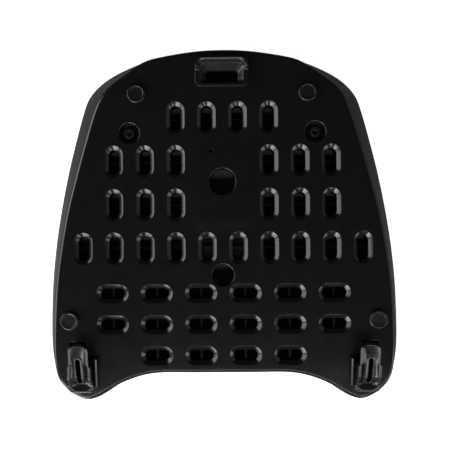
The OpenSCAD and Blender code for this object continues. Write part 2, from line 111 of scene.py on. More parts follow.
class ShaderSheet:
    """The node tree of one material."""

    def __init__(self, name: str) -> None:
        """Makes a material with an empty node tree."""
        self.material = bpy.data.materials.new(name)
        self.material.use_nodes = True
        self.tree = self.material.node_tree
        self.tree.nodes.clear()

    def add(
        self,
        kind: str,
        settings: Optional[Mapping[str, Any]] = None,
        sockets: Optional[Mapping[Union[int, str], Any]] = None,
        result: Union[int, str] = 0,
    ) -> Signal:
        """Adds one node.

        Args:
            kind: The node's type.
            settings: The node's own settings, which are made first. "stops" holds a ramp's (place, grey) pairs.
            sockets: Values or signals for its input sockets, by name or number.
            result: The output socket that is wanted.

        Returns:
            The wanted output.
        """
        node = self.tree.nodes.new(kind)
        for name, value in (settings or {}).items():
            if name == "stops":
                self._set_stops(node.color_ramp, value)
            else:
                setattr(node, name, value)
        for key, value in (sockets or {}).items():
            if isinstance(value, Signal):
                self.tree.links.new(value.socket, node.inputs[key])
            else:
                node.inputs[key].default_value = value
        return Signal(self, node.outputs[result])

    @staticmethod
    def _set_stops(ramp: bpy.types.ColorRamp, stops: Sequence[tuple[float, float]]) -> None:
        """Places the stops of a grey ramp."""
        while len(ramp.elements) < len(stops):
            ramp.elements.new(1.0)
        for element, (place, grey) in zip(ramp.elements, stops):
            element.position = place
            element.color = (grey, grey, grey, 1.0)

    def place(self) -> Signal:
        """Gives the place on the object, in metres."""
        return self.add("ShaderNodeTexCoord", result="Object")

    def noise(self, size_mm: float, detail: float = 2.0, roughness: float = 0.5) -> Signal:
        """Gives soft noise between 0 and 1 whose lumps are about size_mm across."""
        return self.add(
            "ShaderNodeTexNoise",
            {"noise_dimensions": "3D"},
            {"Vector": self.place(), "Scale": 1.0 / (size_mm * MM), "Detail": detail, "Roughness": roughness},
        )

    def ramp(self, value: Signal, stops: Sequence[tuple[float, float]]) -> Signal:
        """Sends a value through a grey ramp."""
        return self.add("ShaderNodeValToRGB", {"stops": stops}, {0: value})

    def tint(self, share: Operand, low: Sequence[float], high: Sequence[float]) -> Signal:
        """Mixes two colours by a share from 0 to 1."""
        settings = {"data_type": "RGBA"}
        return self.add("ShaderNodeMix", settings, {0: share, 6: (*low, 1.0), 7: (*high, 1.0)}, result=2)

    def bump(self, height: Signal, depth_mm: float, strength: float = 1.0) -> Signal:
        """Turns a height between 0 and 1 into a normal."""
        sockets = {"Height": height, "Distance": depth_mm * MM, "Strength": strength}
        return self.add("ShaderNodeBump", sockets=sockets)

    def surface(self, sockets: Mapping[str, Any]) -> bpy.types.Material:
        """Closes the sheet with a Principled surface and gives its material."""
        shader = self.add("ShaderNodeBsdfPrincipled", sockets=sockets)
        return self.close(shader)

    def close(self, shader: Signal) -> bpy.types.Material:
        """Joins a shader to the material's output and gives the material."""
        end = self.tree.nodes.new("ShaderNodeOutputMaterial")
        self.tree.links.new(shader.socket, end.inputs["Surface"])
        return self.material


@dataclass(frozen=True)
class MouldedNylon:
    """Black glass-filled nylon with a fine spark-eroded grain and the soft waves of a thick moulding."""

    dark: tuple[float, float, float] = (0.0050, 0.0051, 0.0058)
    pale: tuple[float, float, float] = (0.0080, 0.0082, 0.0093)
    grain_mm: float = 0.55
    grain_depth_mm: float = 0.006
    wave_mm: float = 34.0
    wave_depth_mm: float = 0.5
    roughness: float = 0.22
    roughness_range: float = 0.06

    def material(self) -> bpy.types.Material:
        """Builds the material."""
        sheet = ShaderSheet("moulded_nylon")
        flow = sheet.noise(self.wave_mm, detail=1.0)
        grain = sheet.noise(self.grain_mm, detail=2.0)
        cloud = sheet.noise(9.0, detail=3.0)
        waves = sheet.bump(flow, self.wave_depth_mm)
        fine = sheet.add(
            "ShaderNodeBump",
            sockets={"Height": grain, "Distance": self.grain_depth_mm * MM, "Strength": 1.0, "Normal": waves},
        )
        return sheet.surface(
            {
                "Base Color": sheet.tint(cloud, self.dark, self.pale),
                "Roughness": self.roughness + (cloud - 0.5) * self.roughness_range,
                "Normal": fine,
                "IOR": 1.5,
            }
        )


@dataclass(frozen=True)
class BufferRubber:
    """Dull black rubber with a faint bloom."""

    dark: tuple[float, float, float] = (0.006, 0.006, 0.0065)
    bloom: tuple[float, float, float] = (0.011, 0.011, 0.0115)
    roughness: float = 0.30

    def material(self) -> bpy.types.Material:
        """Builds the material."""
        sheet = ShaderSheet("buffer_rubber")
        bloom = sheet.noise(3.0, detail=4.0, roughness=0.6)
        return sheet.surface(
            {
                "Base Color": sheet.tint(bloom, self.dark, self.bloom),
                "Roughness": self.roughness + (bloom - 0.5) * 0.10,
                "Normal": sheet.bump(sheet.noise(0.4, detail=2.0), 0.012),
            }
        )


@dataclass(frozen=True)
class BlackenedSteel:
    """Black-oxide steel of a socket screw, lightly oiled."""

    colour: tuple[float, float, float] = (0.030, 0.031, 0.034)
    worn: tuple[float, float, float] = (0.085, 0.085, 0.088)
    roughness: float = 0.36

    def material(self) -> bpy.types.Material:
        """Builds the material."""
        sheet = ShaderSheet("blackened_steel")
        patches = sheet.ramp(sheet.noise(1.1, detail=4.0, roughness=0.6), [(0.45, 0.0), (0.8, 1.0)])
        return sheet.surface(
            {
                "Base Color": sheet.tint(patches, self.colour, self.worn),
                "Metallic": 0.85,
                "Roughness": self.roughness + patches * 0.12,
                "Normal": sheet.bump(sheet.noise(0.25), 0.004),
            }
        )


@dataclass(frozen=True)
class ZincSteel:
    """Bright zinc-plated steel of a washer or nut."""

    colour: tuple[float, float, float] = (0.50, 0.51, 0.52)
    dull: tuple[float, float, float] = (0.36, 0.37, 0.37)
    roughness: float = 0.30

    def material(self) -> bpy.types.Material:
        """Builds the material."""
        sheet = ShaderSheet("zinc_steel")
        spangle = sheet.noise(1.8, detail=3.0, roughness=0.6)
        return sheet.surface(
            {
                "Base Color": sheet.tint(spangle, self.colour, self.dull),
                "Metallic": 1.0,
                "Roughness": self.roughness + spangle * 0.14,
                "Normal": sheet.bump(sheet.noise(0.3), 0.003),
            }
        )


def rounded(path: Path, steps: int = 4) -> list[tuple[float, float]]:
    """Rounds the corners of an open path.

    Args:
        path: Corners as (across, up, radius). A radius of 0 keeps the corner sharp.
        steps: Points on each rounding, less one.

    Returns:
        The rounded path as (across, up) points.
    """
    points: list[tuple[float, float]] = []
    for index, (across, up, radius) in enumerate(path):
        corner = Vector((across, up))
        if radius <= 0.0 or index in (0, len(path) - 1):
            points.append((across, up))
            continue
        before = Vector(path[index - 1][:2]) - corner
        after = Vector(path[index + 1][:2]) - corner
        half = before.angle(after) / 2
        reach = radius / math.tan(half)
        start = corner + before.normalized() * reach
        end = corner + after.normalized() * reach
        centre = corner + (before.normalized() + after.normalized()).normalized() * (radius / math.sin(half))
        for step in range(steps + 1):
            way = (start - centre).lerp(end - centre, step / steps).normalized()
            spot = centre + way * radius
            points.append((spot.x, spot.y))
    return points


def circle(radius: float, count: int) -> np.ndarray:
    """Gives count points on a circle, anticlockwise."""
    turn = np.arange(count) * 2 * math.pi / count
    return np.column_stack([np.cos(turn), np.sin(turn)]) * radius


def round_plan(width: float, length: float, radius: float, x: float = 0.0, y: float = 0.0) -> np.ndarray:
    """Gives a rectangle with round corners, anticlockwise.

    Args:
        width: Its size across.
        length: Its size front to back.
        radius: The radius of its corners.
        x: Place of its middle.
        y: Place of its middle.

    Returns:
        Its points.
    """
    corner = np.array([width / 2 - radius, length / 2 - radius])
    spots = []
    for quarter, signs in enumerate(((1, 1), (-1, 1), (-1, -1), (1, -1))):
        for turn in (quarter + np.linspace(0.0, 1.0, 9)) * math.pi / 2:
            spots.append(corner * signs + np.array([math.cos(turn), math.sin(turn)]) * radius + (x, y))
    return np.array(spots)


class Shell:
    """The skin of one moulding, collected loop by loop in millimetres."""

    def __init__(self) -> None:
        """Starts with no points."""
        self.points: list[tuple[float, float, float]] = []
        self.faces: list[tuple[int, ...]] = []

    def loop(self, plan: np.ndarray, up: Union[float, np.ndarray]) -> list[int]:
        """Adds one closed loop of points and gives their numbers."""
        return self.ring([(x, y, z) for (x, y), z in zip(plan, np.broadcast_to(up, len(plan)))])

    def ring(self, spots: Iterable[Sequence[float]]) -> list[int]:
        """Adds points of any height and gives their numbers."""
        first = len(self.points)
        self.points += [(float(x), float(y), float(z)) for x, y, z in spots]
        return list(range(first, len(self.points)))

    def band(self, low: Sequence[int], high: Sequence[int]) -> None:
        """Joins two loops of the same length by a band of four-sided faces."""
        count = len(low)
        for i in range(count):
            j = (i + 1) % count
            self.faces.append((low[i], low[j], high[j], high[i]))

    def bands(self, loops: Sequence[Sequence[int]]) -> None:
        """Joins each loop to the next."""
        for low, high in zip(loops, loops[1:]):
            self.band(low, high)

    def lid(self, loop: Sequence[int]) -> None:
        """Closes a loop with one face."""
        self.faces.append(tuple(loop))

    def sheet(self, outer: Sequence[int], holes: Sequence[Sequence[int]], inside: np.ndarray, up: Field) -> None:
        """Fills a flat area that has holes.

        Args:
            outer: The loop round the area.
            holes: The loops round its holes.
            inside: Extra points of the area, which lie clear of the loops.
            up: Gives the height of the extra points.
        """
        loops = [list(outer), *[list(hole) for hole in holes]]
        extra = self.loop(inside, up(inside)) if len(inside) else []
        numbers = [number for loop in loops for number in loop] + list(extra)
        places = np.array([self.points[number][:2] for number in numbers])
        edges: list[tuple[int, int]] = []
        start = 0
        for loop in loops:
            count = len(loop)
            edges += [(start + i, start + (i + 1) % count) for i in range(count)]
            start += count
        flat, _, triangles, origin, _, _ = delaunay_2d_cdt([Vector(p) for p in places], edges, [], 0, 1e-6)
        kept = [numbers[origin[i][0]] for i in range(len(flat))]
        middles = np.array([np.mean([flat[i][:] for i in face], axis=0) for face in triangles])
        good = within(middles, np.array([self.points[i][:2] for i in loops[0]]))
        for hole in loops[1:]:
            outline = np.array([self.points[i][:2] for i in hole])
            low, high = outline.min(axis=0), outline.max(axis=0)
            near = np.all((middles > low) & (middles < high), axis=1) & good
            good[near] &= ~within(middles[near], outline)
        self.faces += [tuple(kept[i] for i in face) for face, keep in zip(triangles, good) if keep]

    def bar(
        self, ends: Sequence[tuple[np.ndarray, np.ndarray]], width: float, low: float, high: float, crown: float = 0.0
    ) -> None:
        """Adds one closed rib.

        Args:
            ends: For each end of the rib, its place at the low and at the high level.
            width: The rib's thickness.
            low: Height of the rib's foot.
            high: Height of its root.
            crown: Size of the bevels along its upper edges.
        """
        way = ends[1][1] - ends[0][1]
        across = np.array([-way[1], way[0]]) / np.linalg.norm(way) * width / 2
        foot = 0.3 * width
        rows = []
        for low_end, high_end in ends:
            slope = (low_end - high_end) / (low - high)
            narrow = across * (1.0 - 2.0 * crown / width)
            spots = [
                (high_end + narrow, high), (high_end + across, high - crown - 0.01),
                (low_end + slope * foot + across, low + foot), (low_end + across * 0.5, low),
                (low_end - across * 0.5, low), (low_end + slope * foot - across, low + foot),
                (high_end - across, high - crown - 0.01), (high_end - narrow, high),
            ]
            rows.append([self.loop(np.array([spot]), up)[0] for spot, up in spots])
        self.band(rows[0], rows[1])
        self.lid(rows[0])
        self.lid(rows[1])

    def object(self, name: str, sharp_deg: float = 40.0) -> bpy.types.Object:
        """Makes the Blender object.

        Args:
            name: The object's name.
            sharp_deg: Edges that turn by more than this stay crisp.

        Returns:
            The object, in metres and shaded smooth.
        """
        mesh = bpy.data.meshes.new(name)
        mesh.from_pydata([tuple(value * MM for value in point) for point in self.points], [], self.faces)
        work = bmesh.new()
        work.from_mesh(mesh)
        bmesh.ops.recalc_face_normals(work, faces=work.faces)
        for face in work.faces:
            face.smooth = True
        for edge in work.edges:
            edge.smooth = len(edge.link_faces) != 2 or edge.calc_face_angle(0.0) < math.radians(sharp_deg)
        work.to_mesh(mesh)
        work.free()
        thing = bpy.data.objects.new(name, mesh)
        bpy.context.scene.collection.objects.link(thing)
        return thing


def within(points: np.ndarray, outline: np.ndarray) -> np.ndarray:
    """Says which points lie inside a closed outline."""
    inside = np.zeros(len(points), bool)
    x, y = points[:, 0], points[:, 1]
    for (x0, y0), (x1, y1) in zip(outline, np.roll(outline, -1, axis=0)):
        crosses = (y0 > y) != (y1 > y)
        if y0 != y1:
            inside ^= crosses & (x < (x1 - x0) * (y - y0) / (y1 - y0) + x0)
    return inside


@dataclass(frozen=True)
class EdgeKey:
    """One key of the deck's edge, as shares of half its width and half its length, with the skirt's flare."""

    across: float
    along: float
    flare: float


@dataclass
class DeckEdge:
    """The closed edge of the deck, and the skirt that flares out below it."""

    width: float = 272.8
    length: float = 280.0
    height: float = 22.0
    rear: float = 4.8
    shoulder: float = 14.0
    side: float = 7.7
    front: float = 2.6
    steps: int = 9

    def __post_init__(self) -> None:
        """Works out the dense edge, its outward directions and its flare."""
        half = self.keys()
        mirrored = [EdgeKey(-key.across, key.along, key.flare) for key in half[-2:0:-1]]
        ring = half + mirrored
        table = np.array([(k.across * self.width / 2, k.along * self.length / 2, k.flare) for k in ring])
        count = len(table)
        rows = []
        for i in range(count):
            a, b, c, d = (table[(i + k) % count] for k in (-1, 0, 1, 2))
            for step in range(self.steps):
                t = step / self.steps
                rows.append(
                    0.5 * (2 * b + (c - a) * t + (2 * a - 5 * b + 4 * c - d) * t**2 + (3 * b - a - 3 * c + d) * t**3)
                )
        dense = np.array(rows)
        self.plan = dense[:, :2]
        self.flare = dense[:, 2]
        ahead = np.roll(self.plan, -1, axis=0) - np.roll(self.plan, 1, axis=0)
        normal = np.column_stack([-ahead[:, 1], ahead[:, 0]])
        self.outward = normal / np.linalg.norm(normal, axis=1, keepdims=True)

    def keys(self) -> list[EdgeKey]:
        """Gives the right half of the edge, from the rear middle to the front middle."""
        rear, shoulder, side, front = self.rear, self.shoulder, self.side, self.front
        return [
            EdgeKey(0.000, 1.000, rear), EdgeKey(0.169, 0.992, rear), EdgeKey(0.359, 0.963, rear + 0.4),
            EdgeKey(0.463, 0.933, rear + 1), EdgeKey(0.569, 0.864, shoulder - 4.4),
            EdgeKey(0.667, 0.790, shoulder - 2), EdgeKey(0.722, 0.717, shoulder),
            EdgeKey(0.755, 0.643, shoulder - 0.3), EdgeKey(0.801, 0.500, shoulder - 1),
            EdgeKey(0.863, 0.286, shoulder - 2), EdgeKey(0.919, 0.071, side + 2.6),
            EdgeKey(0.959, -0.143, side + 1.7), EdgeKey(0.987, -0.357, side + 0.7), EdgeKey(1.000, -0.600, side),
            EdgeKey(0.999, -0.757, side - 0.7), EdgeKey(0.978, -0.871, side - 1.5),
            EdgeKey(0.931, -0.936, front + 2.8), EdgeKey(0.869, -0.980, front + 2.3),
            EdgeKey(0.801, -1.000, front + 2.2), EdgeKey(0.729, -0.976, front + 1), EdgeKey(0.609, -0.909, front),
            EdgeKey(0.487, -0.866, front), EdgeKey(0.367, -0.849, front), EdgeKey(0.183, -0.849, front),
            EdgeKey(0.000, -0.849, front),
        ]

    def at(self, out: float, up: float) -> np.ndarray:
        """Gives the skirt's line at a height, moved out by a fixed distance."""
        share = (self.height - up) / self.height
        return self.plan + self.outward * (self.flare * share + out)[:, None]

    def reach(self, start: np.ndarray, way: np.ndarray, out: float, up: float) -> float:
        """Measures how far a straight line runs before it meets the skirt.

        Args:
            start: A point inside the skirt.
            way: The line's direction, of length 1.
            out: Fixed distance of the met line from the skirt's outer face.
            up: The height at which the line runs.

        Returns:
            The distance along the line.
        """
        ring = self.at(out, up) - start
        side = np.array([-way[1], way[0]])
        off, along = ring @ side, ring @ way
        best = math.inf
        for o0, a0, o1, a1 in zip(off, along, np.roll(off, -1), np.roll(along, -1)):
            if (o0 > 0) != (o1 > 0):
                hit = a0 + (a1 - a0) * o0 / (o0 - o1)
                if 0 < hit < best:
                    best = hit
        return best


class Opening:
    """One opening of the deck: a line of centres that all its loops keep the same distance from."""

    def __init__(self, x: float, y: float, radius: float, reach: float = 0.0, runs_across: bool = False) -> None:
        """Places the opening.

        Args:
            x: Place of its middle.
            y: Place of its middle.
            radius: Half its width.
            reach: Half the distance between the middles of its rounded ends. 0 makes it round.
            runs_across: True where it runs from side to side.
        """
        self.middle = np.array([x, y])
        self.radius = radius
        self.reach = reach
        self.way = np.array([1.0, 0.0]) if runs_across else np.array([0.0, 1.0])

    def at(self, out: float) -> np.ndarray:
        """Gives the loop at a distance outside the opening's wall."""
        count = 36 if self.reach else 56
        spots = circle(1.0, count)
        if not self.reach:
            return self.middle + spots * (self.radius + out)
        side = np.array([self.way[1], -self.way[0]])
        ends = np.linspace(0.0, math.pi, count // 2)
        turn = np.concatenate([ends, ends + math.pi])
        along = np.repeat([self.reach, -self.reach], count // 2)
        local_x, local_y = np.cos(turn) * (self.radius + out), np.sin(turn) * (self.radius + out) + along
        return self.middle + local_x[:, None] * side + local_y[:, None] * self.way

    def clearance(self, points: np.ndarray) -> np.ndarray:
        """Gives the distance of points from the opening's wall, below 0 inside it."""
        away = points - self.middle
        along = np.clip(away @ self.way, -self.reach, self.reach)
        return np.linalg.norm(away - along[:, None] * self.way, axis=1) - self.radius


@dataclass
class SquareOpening:
    """A rectangular opening of the deck with round corners."""

    x: float
    y: float
    width: float
    length: float
    radius: float

    def at(self, out: float) -> np.ndarray:
        """Gives the loop at a distance outside the opening's wall."""
        return round_plan(self.width + 2 * out, self.length + 2 * out, self.radius + out, self.x, self.y)

    def clearance(self, points: np.ndarray) -> np.ndarray:
        """Gives about how far points are from the opening's wall, below 0 inside it."""
        past = np.abs(points - (self.x, self.y)) - (self.width / 2, self.length / 2)
        return past.max(axis=1)


@dataclass
class PlateMoulding:
    """The deck with its skirt, slots, round holes, recesses, centre pad and ribs."""

    edge: DeckEdge = field(default_factory=DeckEdge)
    deck_t: float = 3.2
    edge_r: float = 2.2
    skirt_t: float = 2.8
    slot_w: float = 8.2
    slot_l: float = 19.2
    rim_w: float = 3.7
    rim_h: float = 2.8
    rim_round: float = 0.5
    slot_pitch: float = 25.0
    row_pitch: float = 35.0
    row_first: float = -19.0
    cross_pitch: float = 35.7
    cross_row_pitch: float = 25.0
    cross_row_first: float = -55.3
    rib_t: float = 2.6
    rib_depth: float = 17.0
    slot_wall: float = 2.0
    wall_depth: float = 13.0
    bridge_depth: float = 5.5
    floor_depth: float = 7.5
    rear_hole: tuple[float, float] = (21.0, 34.3)
    front_hole: tuple[float, float] = (17.6, -40.8)
    pilot: tuple[float, float, float] = (2.8, -8.9, 59.4)
    screw_at: tuple[float, float] = (74.8, 73.8)
    screw_hole: float = 5.3
    recess_d: float = 16.4
    recess_depth: float = 6.0
    recess_floor: float = 3.0
    pad_h: float = 0.8
    pad_w: float = 60.0
    pad_l: float = 69.0
    pad_y: float = -5.0
    pad_r: float = 17.0
    pad_slope: float = 8.0
    keeper: tuple[float, float, float] = (43.6, 23.5, 109.8)
    mouth: tuple[float, float, float, float] = (117.2, -101.4, 14.6, 15.2)
    grid: float = 4.5

    @property
    def top(self) -> float:
        """Gives the height of the deck's face."""
        return self.edge.height

    def slots(self, closed: bool) -> list[Opening]:
        """Lists the open slots, or the two closed ones."""
        reach = (self.slot_l - self.slot_w) / 2
        rows = [[0.5, 1.5, 2.5, 3.5, 4.5], [1.5, 2.5, 3.5], [1.5, 2.5, 3.5], [0.5, 1.5]]
        found = []
        for row, columns in enumerate(rows):
            for column in columns:
                if closed == (row == 0 and column < 1):
                    for side in Side:
                        x = side.value * column * self.slot_pitch
                        y = self.row_first + row * self.row_pitch
                        found.append(Opening(x, y, self.slot_w / 2, reach))
        if not closed:
            for row, columns in enumerate([[0.5, 1.5, 2.5], [0.5, 1.5, 2.5], [0.5, 1.5]]):
                for column in columns:
                    for side in Side:
                        x = side.value * column * self.cross_pitch
                        y = self.cross_row_first - row * self.cross_row_pitch
                        found.append(Opening(x, y, self.slot_w / 2, reach, runs_across=True))
        return found

    def round_holes(self) -> list[Opening]:
        """Lists the two round holes."""
        return [Opening(0.0, y, d / 2) for d, y in (self.rear_hole, self.front_hole)]

    def recesses(self) -> list[Opening]:
        """Lists the recesses of the two screws."""
        return [Opening(side.value * self.screw_at[0], self.screw_at[1], self.recess_d / 2) for side in Side]

    def mouths(self) -> list[SquareOpening]:
        """Lists the openings under the tongues of the two hooks."""
        x, y, width, length = self.mouth
        return [SquareOpening(side.value * x, y, width, length, 0.8) for side in Side]

    def keeper_seat(self) -> SquareOpening:
        """Gives the hole that the latch keeper fills, which is a block of its own."""
        width, length, front = self.keeper
        return SquareOpening(0.0, front + length / 2, width - 3.0, length - 3.0, 4.0)

    def lift(self, points: np.ndarray) -> np.ndarray:
        """Gives the height of the centre pad over the deck at points."""
        middle = np.array([0.0, self.pad_y + self.pad_l / 2])
        box = np.array([self.pad_w / 2 - self.pad_r, self.pad_l / 2 - self.pad_r])
        past = np.abs(points - middle) - box
        outside = np.linalg.norm(np.maximum(past, 0.0), axis=1) + np.minimum(past.max(axis=1), 0.0) - self.pad_r
        share = np.clip(-outside / self.pad_slope, 0.0, 1.0)
        return self.pad_h * share * share * (3 - 2 * share)

    def deck_level(self, points: np.ndarray) -> np.ndarray:
        """Gives the height of the deck's face at points."""
        return self.top + self.lift(points)

    def sink(self, shell: Shell, opening: Opening, path: Path) -> list[list[int]]:
        """Adds the loops of one opening.

        Args:
            shell: The skin that takes them.
            opening: The opening.
            path: Its section, as (distance outside the wall, height over the deck, rounding).

        Returns:
            The loops, from the deck's face on.
        """
        loops = []
        for out, up in rounded(path):
            plan = opening.at(out)
            near_face = min(max(1.0 + up / self.deck_t, 0.0), 1.0)
            loops.append(shell.loop(plan, self.top + up + near_face * self.lift(plan)))
        shell.bands(loops)
        return loops

    def build(self) -> bpy.types.Object:
        """Builds the moulding without its hooks and its latch keeper."""
        shell = Shell()
        top, foot, under = self.top, -self.wall_depth, -self.deck_t
        skirt: Path = [
            (-self.edge_r - 1.2, top, 0.0), (0.0, top, self.edge_r), (0.0, 0.0, 0.5), (-self.skirt_t, 0.0, 0.5),
            (-self.skirt_t, top + under, 1.2), (-self.skirt_t - 2.0, top + under, 0.0),
        ]
        rim: Path = [(self.rim_w + 0.9, 0.0, 0.0), (self.rim_w - 0.3, 0.0, self.rim_round), (0.0, -self.rim_h, 0.8)]
        wall: Path = [(0.0, foot, 0.4), (self.slot_wall, foot, 0.4), (self.slot_wall, under, 0.0)]
        outer = [shell.loop(self.edge.at(out, up), up) for out, up in rounded(skirt, steps=6)]
        shell.bands(outer)
        over: list[list[int]] = []
        below: list[list[int]] = []
        for opening in self.slots(closed=False):
            loops = self.sink(shell, opening, [*rim, *wall])
            over.append(loops[0])
            below.append(loops[-1])
        for opening in self.slots(closed=True):
            floor: Path = [(0.0, -self.floor_depth, 1.0), (-2.0, -self.floor_depth, 0.0)]
            loops = self.sink(shell, opening, [*rim, *floor])
            shell.lid(loops[-1])
            over.append(loops[0])
            block = -self.floor_depth - self.slot_wall
            loops = self.sink(
                shell, opening, [(0.0, block, 0.0), (self.slot_wall, block, 0.4), (self.slot_wall, under, 0.0)]
            )
            shell.lid(loops[0])
            below.append(loops[-1])
        for opening in self.round_holes():
            loops = self.sink(shell, opening, [(1.2, 0.0, 0.0), (0.0, 0.0, 0.8), *wall])
            over.append(loops[0])
            below.append(loops[-1])
        seat = -self.recess_depth
        boss = seat - self.recess_floor
        bolt = (self.screw_hole - self.recess_d) / 2
        for opening in self.recesses():
            path = [
                (2.0, 0.0, 0.0), (0.0, 0.0, 0.8), (0.0, seat, 0.8), (bolt, seat, 0.3), (bolt, boss, 0.2),
                (self.slot_wall, boss, 0.5), (self.slot_wall, under, 0.0),
            ]
            loops = self.sink(shell, opening, path)
            over.append(loops[0])
            below.append(loops[-1])
        pilot = Opening(self.pilot[1], self.pilot[2], self.pilot[0] / 2)
        loops = self.sink(shell, pilot, [(1.0, 0.0, 0.0), (0.0, 0.0, 0.3), (0.0, under, 0.0)])
        over.append(loops[0])
        below.append(loops[-1])
        for opening in self.mouths():
            loops = self.sink(shell, opening, [(1.2, 0.0, 0.0), (0.0, 0.0, 0.2), (0.0, under, 0.0)])
            over.append(loops[0])
            below.append(loops[-1])
        loops = self.sink(shell, self.keeper_seat(), [(0.0, 0.0, 0.0), (0.0, under, 0.0)])
        over.append(loops[0])
        below.append(loops[-1])
        shell.sheet(outer[0], over, self.face_points(), self.deck_level)
        shell.sheet(outer[-1], below, np.empty((0, 2)), self.deck_level)
        for start, end, low in self.ribs():
            self.add_rib(shell, start, end, low)
        return shell.object("plate_moulding")

    def face_points(self) -> np.ndarray:
        """Gives a grid of points on the deck's face, clear of its edge and its openings."""
        half = np.array([self.edge.width / 2, self.edge.length / 2])
        xs = np.arange(-half[0], half[0], self.grid)
        ys = np.arange(-half[1], half[1], self.grid)
        points = np.array([(x, y) for x in xs for y in ys])
        points = points[within(points, self.edge.at(-self.edge_r - 3.0, self.top))]
        for opening in self.slots(closed=False) + self.slots(closed=True):
            points = points[opening.clearance(points) > self.rim_w + 2.6]
        for opening in self.round_holes() + self.recesses():
            points = points[opening.clearance(points) > 3.6]
        for opening in [*self.mouths(), self.keeper_seat()]:
            points = points[opening.clearance(points) > 2.0]
        pilot = Opening(self.pilot[1], self.pilot[2], self.pilot[0] / 2)
        return points[pilot.clearance(points) > 2.2]

    def ribs(self) -> list[tuple[np.ndarray, np.ndarray, float]]:
        """Lists the ribs, each with two points that it runs through and the height of its foot."""
        low = self.top - self.rib_depth
        between = (self.row_first + self.cross_row_first) / 2
        far = 400.0
        found = []
        for row in range(4):
            y = self.row_first + row * self.row_pitch
            found.append((np.array([-far, y]), np.array([far, y]), low))
        for row in range(3):
            y = between - row * self.cross_row_pitch
            found.append((np.array([-far, y]), np.array([far, y]), low))
        for side in Side:
            for column in (0.5, 1.5, 2.5):
                x = side.value * column * self.cross_pitch
                found.append((np.array([x, -far]), np.array([x, between]), low))
            for column in range(1, 5):
                x = side.value * column * self.slot_pitch
                found.append((np.array([x, between]), np.array([x, far]), low))
            for wall in Side:
                span, y, width, length = self.mouth
                x = side.value * span + wall.value * (width + self.rib_t) / 2
                found.append((np.array([x, -far]), np.array([x, y + length / 2 + self.rib_t]), low))
        return found

    def add_rib(self, shell: Shell, start: np.ndarray, end: np.ndarray, low: float) -> None:
        """Adds one rib, which stops at the skirt and passes below the slot walls.

        Args:
            shell: The skin that takes it.
            start: Where it starts, or a point far outside the skirt.
            end: Where it ends, or a point far outside.
            low: The height of its foot.
        """
        root = self.top - self.deck_t + 0.4
        way = (end - start) / np.linalg.norm(end - start)
        inner = start + way * np.clip(-(start @ way), 0.0, np.linalg.norm(end - start))
        spans = []
        for sign, tip in ((-1, start), (1, end)):
            inside = bool(within(tip[None, :], self.edge.at(0.0, self.top))[0])
            distances = []
            for up in (low, root):
                if inside:
                    distances.append(float((tip - inner) @ way))
                else:
                    distances.append(sign * self.edge.reach(inner, sign * way, -self.skirt_t / 2, up))
            spans.append(distances)
        cuts: list[tuple[float, float, float]] = []
        for opening in self.slots(closed=False) + self.round_holes() + self.recesses():
            away = opening.middle - inner
            along, off = float(away @ way), abs(float(away @ np.array([-way[1], way[0]])))
            half = opening.radius + (opening.reach if abs(way @ opening.way) > 0.5 else 0.0)
            across = opening.radius + (0.0 if abs(way @ opening.way) > 0.5 else opening.reach)
            if off < across:
                depth = self.bridge_depth if opening.way[0] else self.wall_depth
                cuts.append((along - half - 0.6, along + half + 0.6, depth if opening.reach > 0 else 0.0))
        cuts.sort()
        pieces = []
        position = spans[0]
        for left, right, depth in cuts:
            if left < spans[0][1] or right > spans[1][1]:
                continue
            pieces.append((position, [left, left], root, 0.0))
            if depth:
                pieces.append(([left, left], [right, right], self.top - depth, 0.6))
            position = [right, right]
        pieces.append((position, spans[1], root, 0.0))
        for (low_a, high_a), (low_b, high_b), up, crown in pieces:
            if high_b - high_a < 1.0:
                continue
            ends = [(inner + way * low_a, inner + way * high_a), (inner + way * low_b, inner + way * high_b)]
            shell.bar(ends, self.rib_t, low, up, crown)


class Join(Enum):
    """Ways to join two solids."""

    UNION = "UNION"
    DIFFERENCE = "DIFFERENCE"
    INTERSECT = "INTERSECT"


